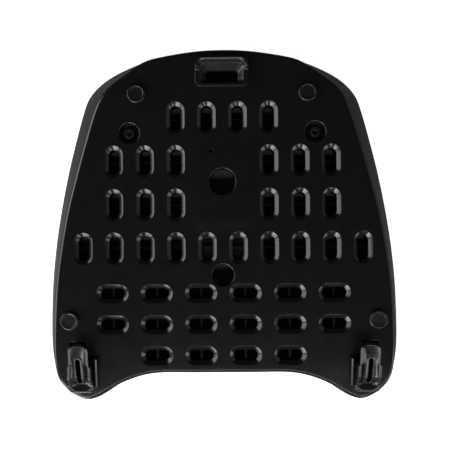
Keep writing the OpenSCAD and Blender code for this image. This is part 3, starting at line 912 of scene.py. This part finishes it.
class Carver:
    """Cuts small closed solids out of prisms and turns them into softly rounded mouldings."""

    @staticmethod
    def solid(rings: Sequence[Sequence[Sequence[float]]]) -> bpy.types.Object:
        """Makes a closed solid whose skin runs through rings of points."""
        shell = Shell()
        rows = [shell.ring(ring) for ring in rings]
        shell.bands(rows)
        shell.lid(rows[0])
        shell.lid(rows[-1])
        return shell.object("tool")

    @classmethod
    def side_cut(cls, outline: Sequence[tuple[float, float]], half_width: float, x: float = 0.0) -> bpy.types.Object:
        """Makes a prism from a side view of (y, z) points, half_width to each side of its middle x."""
        return cls.solid([[(x + reach, y, z) for y, z in outline] for reach in (-half_width, half_width)])

    @classmethod
    def plan_cut(cls, plan: np.ndarray, low: float, high: float, top: Optional[np.ndarray] = None) -> bpy.types.Object:
        """Makes an upright solid from a plan, with another plan at its top where its walls lean."""
        levels = ((plan, low), (plan if top is None else top, high))
        return cls.solid([[(x, y, level) for x, y in outline] for outline, level in levels])

    @classmethod
    def trough(cls, stations: Sequence[tuple[float, float, float, float]], power: float = 2.5) -> bpy.types.Object:
        """Makes the solid that cuts a channel with a hollow floor.

        Args:
            stations: Its cross sections, as (y, height of its rims, half its width, depth).
            power: How flat the floor's middle is. 2 makes it a parabola.

        Returns:
            The closed solid.
        """
        shares = np.linspace(-1.0, 1.0, 33)
        rings = []
        for y, rim, half, depth in stations:
            floor = [(share * half, y, rim - depth * (1.0 - abs(share) ** power)) for share in shares]
            rings.append([*floor, (half, y, rim + 8.0), (-half, y, rim + 8.0)])
        return cls.solid(rings)

    @staticmethod
    def apply(thing: bpy.types.Object) -> None:
        """Fixes the object's modifiers into its mesh."""
        graph = bpy.context.evaluated_depsgraph_get()
        mesh = bpy.data.meshes.new_from_object(thing.evaluated_get(graph))
        thing.modifiers.clear()
        old = thing.data
        thing.data = mesh
        bpy.data.meshes.remove(old)

    @classmethod
    def join(cls, base: bpy.types.Object, tools: Iterable[bpy.types.Object], how: Join) -> bpy.types.Object:
        """Joins solids to a base, or cuts the base by them, and removes them."""
        for tool in tools:
            cut = base.modifiers.new("join", "BOOLEAN")
            cut.operation = how.value
            cut.solver = "EXACT"
            cut.object = tool
            bpy.context.view_layer.update()
            cls.apply(base)
            bpy.data.objects.remove(tool)
        return base

    @classmethod
    def soften(cls, thing: bpy.types.Object, voxel_mm: float, rounds: int) -> bpy.types.Object:
        """Rounds every edge of a solid by an even remesh and some smoothing."""
        mesh = thing.modifiers.new("even", "REMESH")
        mesh.mode = "VOXEL"
        mesh.voxel_size = voxel_mm * MM
        mesh.use_smooth_shade = True
        calm = thing.modifiers.new("calm", "SMOOTH")
        calm.factor = 0.5
        calm.iterations = rounds
        bpy.context.view_layer.update()
        cls.apply(thing)
        for polygon in thing.data.polygons:
            polygon.use_smooth = True
        return thing


@dataclass
class CaseHook:
    """One hook at the front of the deck: a dished tongue over an open mouth, on a base shaped like a scoop."""

    side: Side
    x: float = 114.0
    height: float = 17.0
    deck_h: float = 22.0
    tongue_w: float = 15.8
    tip: float = -92.7
    tongue_t: float = 5.4
    mouth: float = 16.0
    length: float = 41.6
    base_from: float = 17.5
    base_top: float = 14.0
    drop_from: float = 28.0
    drop_top: float = 12.2
    ramp_to: float = 35.8
    foot_h: float = 4.4
    base_wall: float = 2.8
    base_lip: float = 2.6
    spread: float = 0.8
    wall_lean: float = 1.0
    ledge_step: float = 2.3
    ledge_rib: float = 1.9
    ledge_h: float = 4.5
    spine_w: float = 6.4
    groove_from: float = 12.2
    groove_to: float = 32.5
    groove_lean: float = 0.06
    groove_w: float = 3.4
    rail_w: float = 2.1
    rim_w: float = 2.2
    dish_h: float = 2.9
    scoop_h: float = 3.4
    throat_r: float = 3.0
    tip_r: float = 5.5
    base_r: float = 4.5
    sunk: float = 1.5

    def crest(self, from_tip: float, below: float = 0.0) -> Vector:
        """Gives a place on the hook's upper line, or below it.

        Args:
            from_tip: Distance from the tongue's tip.
            below: Distance below the line.

        Returns:
            The place in the side view, as (y, z).
        """
        places = [0.0, self.base_from, self.drop_from, self.ramp_to]
        up = np.interp(from_tip, places, [self.height, self.base_top, self.drop_top, self.foot_h])
        return Vector((self.tip - from_tip, float(up) - below))

    def tongue(self) -> bpy.types.Object:
        """Builds the tongue with its ramp."""
        top, tip, gap = self.height, self.tip, self.height - self.tongue_t
        throat, front = tip - self.mouth, tip - self.length + 1
        side = rounded(
            [
                (throat, -self.sunk, 0.0), (throat, gap, self.throat_r), (tip, gap, 1.4), (tip, top, 3.1),
                (*self.crest(self.base_from), 2.0), (*self.crest(self.drop_from), 3.0),
                (*self.crest(self.ramp_to), 0.0), (front, 0.6, 0.0),
                (front, -self.sunk, 0.0),
            ],
            steps=7,
        )
        body = Carver.side_cut(side, self.tongue_w / 2)
        reach = 2 * self.length
        mask = Carver.plan_cut(round_plan(self.tongue_w, reach, self.tip_r, 0.0, tip - reach / 2), -5.0, top + 5.0)
        return Carver.join(body, [mask], Join.INTERSECT)

    def base(self) -> bpy.types.Object:
        """Builds the base, whose sides lean in and spread to the front."""
        back, front = self.tip - self.base_from, self.tip - self.length
        half = self.tongue_w / 2 + self.base_wall
        side = rounded(
            [
                (back, -self.sunk, 0.0), (back, self.base_top, 0.8), (*self.crest(self.drop_from), 3.0),
                (*self.crest(self.ramp_to), 2.5),
                (front, self.foot_h - 1.0, 1.4), (front, -self.sunk, 0.0),
            ],
            steps=6,
        )
        body = Carver.side_cut(side, half)
        plans = [self.base_plan(half - lean, front, back) for lean in (0.0, self.wall_lean)]
        mask = Carver.plan_cut(plans[0], -self.sunk - 1.0, self.height, plans[1])
        return Carver.join(body, [mask], Join.INTERSECT)

    def base_plan(self, half: float, front: float, back: float) -> np.ndarray:
        """Gives the base's plan, whose sides spread towards its round front corners."""
        corners = round_plan(2 * half, 2 * self.length, self.base_r, 0.0, front + self.length)[18:]
        along = np.linspace(front + self.base_r + 0.3, back + 1.0, 14)
        share = np.clip((back - along) / (back - front), 0.0, 1.0)
        across = half - self.spread * (1.0 - share**2.5)
        right, left = np.column_stack([across, along]), np.column_stack([-across, along])[::-1]
        return np.vstack([corners, right, left])

    def ledge(self) -> bpy.types.Object:
        """Builds the ledge along the base's inner side, with a thin rib at its edge."""
        foot, back = self.tip - self.ramp_to - 1.0, self.tip - self.base_from + 4.0
        edge = self.tongue_w / 2 + self.base_wall + self.ledge_step
        floor_w = self.ledge_step + 3.0
        plan = round_plan(floor_w, back - foot, 0.4, edge - floor_w / 2, (foot + back) / 2)
        floor = Carver.plan_cut(plan, -self.sunk, 1.4)
        side = [(foot, -self.sunk), (foot, self.ledge_h - 1.9), (back, self.ledge_h + 1.9), (back, -self.sunk)]
        rib = Carver.side_cut(side, self.ledge_rib / 2, edge - self.ledge_rib / 2)
        return Carver.join(floor, [rib], Join.UNION)

    def channels(self) -> list[bpy.types.Object]:
        """Builds the solids that hollow the tongue between its rails and the base between its walls."""
        narrow = self.tongue_w / 2 - self.rail_w
        wide = self.tongue_w / 2 + self.base_wall - self.rim_w
        near = wide - self.spread - 0.8
        tip, end = self.tip, self.length - self.base_lip
        dish = [
            (tip + 3.0, self.height, narrow, 0.6), (tip, self.height, narrow, 0.6),
            (*self.crest(self.base_from + 1.0), narrow, self.dish_h),
        ]
        floor = self.scoop_h
        scoop = [
            (*self.crest(self.base_from - 0.6), near, floor), (*self.crest(self.drop_from), near + 0.3, floor),
            (*self.crest(self.ramp_to - 2.0), wide - 0.2, floor), (tip - self.ramp_to, self.foot_h, wide, 1.2),
            (tip - end + 2.2, self.foot_h, wide - 0.3, 1.1), (tip - end - 0.4, self.foot_h, wide - 1.6, 0.85),
        ]
        return [Carver.trough(dish, 2.3), Carver.trough(scoop, 3.4)]

    def spine(self) -> bpy.types.Object:
        """Builds the raised spine in the scoop, which the groove runs along."""
        places = ((self.groove_from - 3.0, 1.6), (self.base_from, 1.2), (self.drop_from, 1.0), (self.ramp_to, 0.5))
        line = [tuple(self.crest(place, below)) for place, below in places]
        body = Carver.side_cut([(line[0][0], 0.3), *line, (line[-1][0], 0.3)], self.tongue_w / 2)
        body = Carver.join(body, [self.groove(self.spine_w, 0.2)], Join.INTERSECT)
        return Carver.join(body, [self.groove(self.groove_w, -0.4)], Join.DIFFERENCE)

    def groove(self, width: float, inward: float) -> bpy.types.Object:
        """Builds the shape that cuts the groove, or the spine where it is wider.

        Args:
            width: Its width.
            inward: How far it lies towards the plate's middle.

        Returns:
            The upright solid.
        """
        reach = self.groove_to - self.groove_from + (width - self.groove_w)
        middle = self.tip - (self.groove_from + self.groove_to) / 2
        plan = round_plan(width, reach, 0.49 * width, inward, middle)
        plan[:, 0] += (middle - plan[:, 1]) * self.groove_lean
        return Carver.plan_cut(plan, 1.0, self.height + 5.0)

    def build(self) -> bpy.types.Object:
        """Builds the whole hook in its place, first as the left one."""
        body = Carver.join(self.tongue(), [self.base(), self.ledge()], Join.UNION)
        body = Carver.join(body, [*self.channels(), self.groove(self.groove_w - 0.1, -0.4)], Join.DIFFERENCE)
        body = Carver.join(body, [self.spine()], Join.UNION)
        body = Carver.soften(body, 0.28, 5)
        body.name = body.data.name = f"case_hook_{self.side.word}"
        body.data.transform(Matrix.Diagonal((-self.side.value, 1.0, 1.0, 1.0)))
        if self.side is Side.RIGHT:
            body.data.flip_normals()
        body.data.transform(Matrix.Translation(Vector((self.side.value * self.x, 0.0, self.deck_h)) * MM))
        return body


@dataclass
class LatchKeeper:
    """The frame at the rear edge, raised round its rear, with a window for the case's latch."""

    width: float = 43.6
    length: float = 23.5
    front: float = 109.8
    height: float = 3.6
    lip_h: float = 8.0
    lip_l: float = 7.0
    rise_l: float = 3.0
    lip_step: float = 1.2
    corner_r: float = 5.0
    wall: float = 3.2
    lean: float = 0.8
    window: tuple[float, float, float, float] = (25.8, 9.2, 1.5, 118.3)
    sunk: float = 0.6
    sunk_edge: float = 0.2
    deck_h: float = 22.0
    deck_t: float = 3.2
    slot_wall: float = 2.0
    foot: float = 9.0

    def block(self) -> bpy.types.Object:
        """Builds the outer form of the frame."""
        middle, back = self.front + self.length / 2, self.front + self.length
        deck = self.deck_h
        low = round_plan(self.width, self.length, self.corner_r, 0.0, middle)
        high = round_plan(self.width - 2 * self.lean, self.length - 2 * self.lean, self.corner_r, 0.0, middle)
        body = Carver.plan_cut(low, deck - self.deck_t, deck + self.lip_h, high)
        side = rounded(
            [
                (self.front, 0.0, 0.0), (self.front, deck + self.height, 1.2),
                (back - self.lip_l - self.rise_l, deck + self.height, 2.0), (back - self.lip_l, deck + self.lip_h, 2.0),
                (back, deck + self.lip_h, 1.8), (back, 0.0, 0.0),
            ],
            steps=6,
        )
        return Carver.join(body, [Carver.side_cut(side, self.width)], Join.INTERSECT)

    def build(self) -> bpy.types.Object:
        """Builds the keeper in its place."""
        deck, rim = self.deck_h, self.deck_h + self.height
        middle = self.front + self.length / 2
        width, length, radius, y = self.window
        inner_w, inner_l = self.width - 2 * self.wall, self.length - 2 * self.wall
        grow, edge = 2 * self.slot_wall, 2 * self.sunk_edge
        tube = Carver.plan_cut(
            round_plan(width + grow, length + grow, radius + 1.0, 0.0, y), self.foot, deck - self.deck_t + 1.0
        )
        body = Carver.join(self.block(), [tube], Join.UNION)
        slope = Carver.plan_cut(
            round_plan(width + edge, length + edge, radius + 0.5, 0.0, y), deck - self.sunk, rim + 0.6,
            round_plan(inner_w - self.lip_step, inner_l - self.lip_step, 3.0, 0.0, middle - self.lip_step / 2),
        )
        hollow = Carver.plan_cut(round_plan(inner_w, inner_l, self.corner_r - 1.5, 0.0, middle), rim + 0.5, 60.0)
        window = Carver.plan_cut(round_plan(width, length, radius, 0.0, y), 0.0, 60.0)
        crown = deck + self.lip_h
        brow = Carver.plan_cut(
            round_plan(inner_w, inner_l, self.corner_r + 0.5, 0.0, middle), crown - 1.45, crown + 0.1,
            round_plan(inner_w + 5.2, inner_l + 5.2, self.corner_r + 1.5, 0.0, middle),
        )
        body = Carver.join(body, [slope, hollow, brow, window], Join.DIFFERENCE)
        body = Carver.soften(body, 0.3, 7)
        body.name = body.data.name = "latch_keeper"
        return body


@dataclass
class Turned:
    """A turned piece, drawn by its half section and set on an upright axis."""

    name: str
    x: float
    y: float
    count: int = 64

    def spin(self, path: Path, waves: int = 0, wave_h: float = 0.0, waved: Sequence[int] = ()) -> Shell:
        """Turns a closed half section that starts and ends on the axis.

        Args:
            path: Corners as (radius, height, rounding), with the first and last on the axis.
            waves: Number of knurls round the piece.
            wave_h: Depth of the knurls.
            waved: Numbers of the rounded path's points that the knurls are cut into.

        Returns:
            The skin.
        """
        shell = Shell()
        spots = rounded(path, steps=3)
        turn = np.arange(self.count) * 2 * math.pi / self.count
        loops = []
        for index, (radius, up) in enumerate(spots[1:-1]):
            depth = wave_h * (0.5 + 0.5 * np.cos(turn * waves)) if index in waved else 0.0
            reach = radius - depth
            plan = np.column_stack([np.cos(turn) * reach, np.sin(turn) * reach]) + (self.x, self.y)
            loops.append(shell.loop(plan, up))
        shell.bands(loops)
        shell.lid(loops[0])
        shell.lid(loops[-1])
        return shell


@dataclass
class RubberBuffer(Turned):
    """One round buffer that the case rests on, with a neck and a barb through the deck."""

    diameter: float = 14.8
    height: float = 3.0
    neck_d: float = 5.0
    barb_d: float = 7.0
    barb_l: float = 3.4
    rim: float = 0.8
    deck_h: float = 22.0
    deck_t: float = 3.2

    def build(self) -> bpy.types.Object:
        """Builds the buffer."""
        head, neck, barb = self.diameter / 2, self.neck_d / 2, self.barb_d / 2
        deck, under = self.deck_h, self.deck_h - self.deck_t
        face = deck + self.height
        path: Path = [
            (0.0, under - self.barb_l, 0.0), (neck - 0.6, under - self.barb_l, 0.4), (barb, under - self.rim, 0.3),
            (barb, under, 0.2), (neck, under, 0.2), (neck, deck, 0.0), (head, deck, 0.3), (head, face, 0.9),
            (head - 2 * self.rim, face, 0.3), (head - 2.6 * self.rim, face - 0.4, 0.3), (0.8, face - 0.35, 0.2),
            (0.0, face - 0.35, 0.0),
        ]
        return self.spin(path).object(self.name)


@dataclass
class SocketScrew(Turned):
    """One socket head screw with a knurled head."""

    thread_d: float = 5.0
    length: float = 10.0
    seat: float = 16.0
    count: int = 72

    def build(self) -> bpy.types.Object:
        """Builds the screw."""
        head, head_h = 0.85 * self.thread_d, self.thread_d
        shaft = self.thread_d / 2
        seat, top = self.seat, self.seat + head_h
        path: Path = [
            (0.0, seat - self.length, 0.0), (shaft - 0.5, seat - self.length, 0.0),
            (shaft, seat - self.length + 0.5, 0.0), (shaft, seat, 0.0), (head - 0.3, seat, 0.0),
            (head, seat + 0.3, 0.0), (head, top - 0.9, 0.0), (head - 0.1, top - 0.5, 0.0),
            (head - 0.5, top, 0.0), (0.6 * head, top, 0.0), (0.0, top, 0.0),
        ]
        shell = self.spin(path, waves=24, wave_h=0.16, waved=(4, 5))
        rim = shell.faces.pop()
        turn = np.arange(self.count) * 2 * math.pi / self.count
        across = 0.4 * self.thread_d
        sector = np.mod(turn, math.pi / 3) - math.pi / 6
        hexagon = np.column_stack([np.cos(turn), np.sin(turn)]) * (across / np.cos(sector))[:, None]
        middle = np.array([self.x, self.y])
        loops = [list(rim)]
        for share, up in ((1.04, top), (1.0, top - 0.15), (1.0, top - head_h / 2), (0.5, top - head_h / 2 - 0.6)):
            loops.append(shell.loop(hexagon * share + middle, up))
        shell.bands(loops)
        shell.lid(loops[-1])
        return shell.object(self.name, sharp_deg=28.0)


@dataclass
class FlatWasher(Turned):
    """One washer below the deck."""

    diameter: float = 10.0
    bore: float = 5.3
    thickness: float = 1.0
    top: float = 13.0

    def build(self) -> bpy.types.Object:
        """Builds the washer."""
        shell = Shell()
        outer, inner = self.diameter / 2, self.bore / 2
        low, high = self.top - self.thickness, self.top
        path = [(inner, high - 0.1), (inner + 0.1, high), (outer - 0.15, high), (outer, high - 0.15),
                (outer, low + 0.15), (outer - 0.15, low), (inner + 0.1, low), (inner, low + 0.1)]
        spots = circle(1.0, self.count)
        loops = [shell.loop(spots * radius + (self.x, self.y), up) for radius, up in path]
        shell.bands([*loops, loops[0]])
        return shell.object(self.name, sharp_deg=30.0)


@dataclass
class HexNut(Turned):
    """One hexagon nut below the washer."""

    across: float = 8.0
    bore: float = 5.3
    height: float = 4.0
    top: float = 12.0
    count: int = 72

    def build(self) -> bpy.types.Object:
        """Builds the nut."""
        shell = Shell()
        turn = np.arange(self.count) * 2 * math.pi / self.count
        sector = np.mod(turn, math.pi / 3) - math.pi / 6
        flats = self.across / 2 / np.cos(sector)
        crown = np.full(self.count, self.across / 2 - 0.1)
        hole = np.full(self.count, self.bore / 2)
        low, high = self.top - self.height, self.top
        drop = (flats - self.across / 2) * 0.6
        rows = [
            (hole, high - 0.3), (hole + 0.3, high), (crown, high), (flats, high - drop), (flats, low + drop),
            (crown, low), (hole + 0.3, low), (hole, low + 0.3),
        ]
        way = np.column_stack([np.cos(turn), np.sin(turn)])
        loops = [shell.loop(way * reach[:, None] + (self.x, self.y), up) for reach, up in rows]
        shell.bands([*loops, loops[0]])
        return shell.object(self.name, sharp_deg=24.0)


@dataclass(frozen=True)
class Softbox:
    """One soft light of the studio."""

    name: str
    place: tuple[float, float, float]
    aim: tuple[float, float, float]
    size: tuple[float, float]
    power: float

    def build(self) -> None:
        """Hangs the light."""
        lamp = bpy.data.lights.new(self.name, "AREA")
        lamp.shape = "RECTANGLE"
        lamp.size, lamp.size_y = self.size
        lamp.energy = self.power
        thing = bpy.data.objects.new(self.name, lamp)
        thing.location = self.place
        thing.rotation_euler = (Vector(self.aim) - Vector(self.place)).to_track_quat("-Z", "Y").to_euler()
        bpy.context.scene.collection.objects.link(thing)


@dataclass
class Studio:
    """Floor, backdrop light, softboxes and camera."""

    edge: DeckEdge
    floor_size: float = 6.0
    floor_grey: float = 0.80
    # Greyness of the patch under the plate: painted shade that stands in for the shadow seen through the openings.
    shade_grey: float = 0.14
    camera_xy: tuple[float, float] = (1.8, -0.5)
    camera_over_deck: float = 500.0
    roll_deg: float = -0.47
    tilt_deg: float = 0.86
    focal_px: float = 623.4
    frame_px: int = 450

    def build(self) -> None:
        """Sets up the whole studio."""
        self.add_floor()
        self.add_world()
        for light in self.lights():
            light.build()
        self.add_camera()
        bpy.context.scene.view_settings.view_transform = "Standard"

    def lights(self) -> list[Softbox]:
        """Lists the softboxes."""
        aim = (0.0, 0.0, 0.02)
        return [
            Softbox("left_softbox", (-1.05, 0.10, 0.30), aim, (1.2, 0.56), 8.0),
            Softbox("front_left_softbox", (-0.60, -0.86, 0.30), aim, (0.75, 0.56), 9.0),
            Softbox("front_right_softbox", (0.92, -0.50, 0.26), aim, (0.5, 0.45), 2.2),
            Softbox("right_fill", (1.05, 0.20, 0.26), aim, (0.9, 0.45), 0.5),
            Softbox("high_front_strip", (0.00, -0.56, 0.86), aim, (1.2, 0.14), 3.2),
            Softbox("low_left_strip", (-0.32, -0.89, 0.40), aim, (0.3, 0.12), 1.0),
            Softbox("low_right_strip", (0.32, -0.89, 0.40), aim, (0.3, 0.12), 1.0),
        ]

    def floor_material(self, grey: float, camera_glow: float, mirror_grey: float) -> bpy.types.Material:
        """Builds the pale floor, or the dark patch of painted shade under the plate.

        Args:
            grey: How pale the floor is.
            camera_glow: Light that only the camera sees, so that the picture's ground is white.
            mirror_grey: How pale the floor is in the plate's reflections.

        Returns:
            The floor's material.
        """
        sheet = ShaderSheet("pale_floor")
        rays = sheet.add("ShaderNodeLightPath", result="Is Camera Ray")
        gloss = sheet.add("ShaderNodeLightPath", result="Is Glossy Ray")
        matt, dim = (
            sheet.add("ShaderNodeBsdfDiffuse", sockets={"Color": (tone,) * 3 + (1.0,)})
            for tone in (grey, mirror_grey)
        )
        ground = sheet.add("ShaderNodeMixShader", sockets={0: gloss, 1: matt, 2: dim})
        glow = sheet.add("ShaderNodeEmission", sockets={"Strength": rays * camera_glow})
        top_side = sheet.add("ShaderNodeAddShader", sockets={0: ground, 1: glow})
        from_under = sheet.add("ShaderNodeNewGeometry", result="Backfacing")
        clear = sheet.add("ShaderNodeBsdfTransparent")
        return sheet.close(sheet.add("ShaderNodeMixShader", sockets={0: from_under, 1: top_side, 2: clear}))

    def add_floor(self) -> None:
        """Lays the floor, with a dark patch of painted shade under the plate, which shows only through the plate's
        openings.
        """
        ring = self.edge.at(-1.4, 0.0)
        shell = Shell()
        inner = shell.loop(ring, 0.0)
        half = self.floor_size / MM / 2
        turn = np.arctan2(ring[:, 1], ring[:, 0])
        outer = shell.loop(np.column_stack([np.cos(turn), np.sin(turn)]) * half, 0.0)
        shell.band(inner, outer)
        ground = shell.object("floor")
        ground.data.materials.append(self.floor_material(self.floor_grey, 0.90, 0.34))
        # Painted shade: a dark patch under the plate, with no camera glow, stands in for the shadow seen through the
        # openings.
        patch = Shell()
        patch.lid(patch.loop(ring, 0.0))
        shade = patch.object("floor_under_plate")
        shade.data.materials.append(self.floor_material(self.shade_grey, 0.0, 0.05))
        for piece in (ground, shade):
            if piece.data.polygons[0].normal.z < 0:
                piece.data.flip_normals()
            piece.location.z = -0.0002

    def add_world(self) -> None:
        """Lights the room evenly and shows white to the camera."""
        world = bpy.data.worlds.new("studio")
        bpy.context.scene.world = world
        world.use_nodes = True
        tree = world.node_tree
        tree.nodes.clear()
        room = tree.nodes.new("ShaderNodeBackground")
        room.inputs["Color"].default_value = (1.0, 1.0, 1.0, 1.0)
        room.inputs["Strength"].default_value = 0.03
        white = tree.nodes.new("ShaderNodeBackground")
        white.inputs["Color"].default_value = (1.0, 1.0, 1.0, 1.0)
        rays = tree.nodes.new("ShaderNodeLightPath")
        mix = tree.nodes.new("ShaderNodeMixShader")
        end = tree.nodes.new("ShaderNodeOutputWorld")
        tree.links.new(rays.outputs["Is Camera Ray"], mix.inputs[0])
        tree.links.new(room.outputs[0], mix.inputs[1])
        tree.links.new(white.outputs[0], mix.inputs[2])
        tree.links.new(mix.outputs[0], end.inputs["Surface"])

    def add_camera(self) -> None:
        """Hangs the camera over the deck, where the photograph was taken from."""
        lens = bpy.data.cameras.new("camera")
        lens.sensor_width = 36.0
        lens.lens = self.focal_px * lens.sensor_width / self.frame_px
        lens.shift_x = self.focal_px / self.frame_px * math.tan(math.radians(self.tilt_deg))
        lens.clip_start = 0.01
        eye = bpy.data.objects.new("camera", lens)
        height = (self.edge.height + self.camera_over_deck) * MM
        eye.location = (self.camera_xy[0] * MM, self.camera_xy[1] * MM, height)
        eye.rotation_euler = (0.0, math.radians(self.tilt_deg), math.radians(self.roll_deg))
        bpy.context.scene.collection.objects.link(eye)
        bpy.context.scene.camera = eye


def dress(piece: bpy.types.Object, material: bpy.types.Material, node: str) -> None:
    """Gives a piece its material and its body, and hides the node of the model that it stands for.

    Args:
        piece: The piece.
        material: Its finish.
        node: The node of the model that it replaces.
    """
    piece.data.materials.clear()
    piece.data.materials.append(material)
    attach(piece, "root")
    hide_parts(node)
    LOG.info("%s: %d faces, stands for %s", piece.name, len(piece.data.polygons), node)


def main() -> None:
    """Builds every piece in order, then the studio."""
    logging.basicConfig(level=logging.INFO, format="%(name)s %(message)s")
    nylon, rubber = MouldedNylon().material(), BufferRubber().material()
    black, zinc = BlackenedSteel().material(), ZincSteel().material()
    plate = PlateMoulding()
    dress(plate.build(), nylon, "plate")
    dress(LatchKeeper().build(), nylon, "plate")
    for side in Side:
        dress(CaseHook(side).build(), nylon, "plate")
        for row, (x, y) in (("rear", (68.6, 105.3)), ("front", (123.6, -76.5))):
            node = f"buffer_{row}_{side.word}"
            dress(RubberBuffer(f"rubber_{node}", side.value * x, y).build(), rubber, node)
        x, y = side.value * plate.screw_at[0], plate.screw_at[1]
        for kind, material, slot in (
            (SocketScrew, black, "black_steel"), (FlatWasher, zinc, "zinc_steel"), (HexNut, zinc, "zinc_steel"),
        ):
            node = {SocketScrew: "screw", FlatWasher: "washer", HexNut: "nut"}[kind] + f"_{side.word}"
            dress(kind(f"steel_{node}", x, y).build(), material, node)
    Studio(plate.edge).build()


if __name__ == "__main__":
    main()
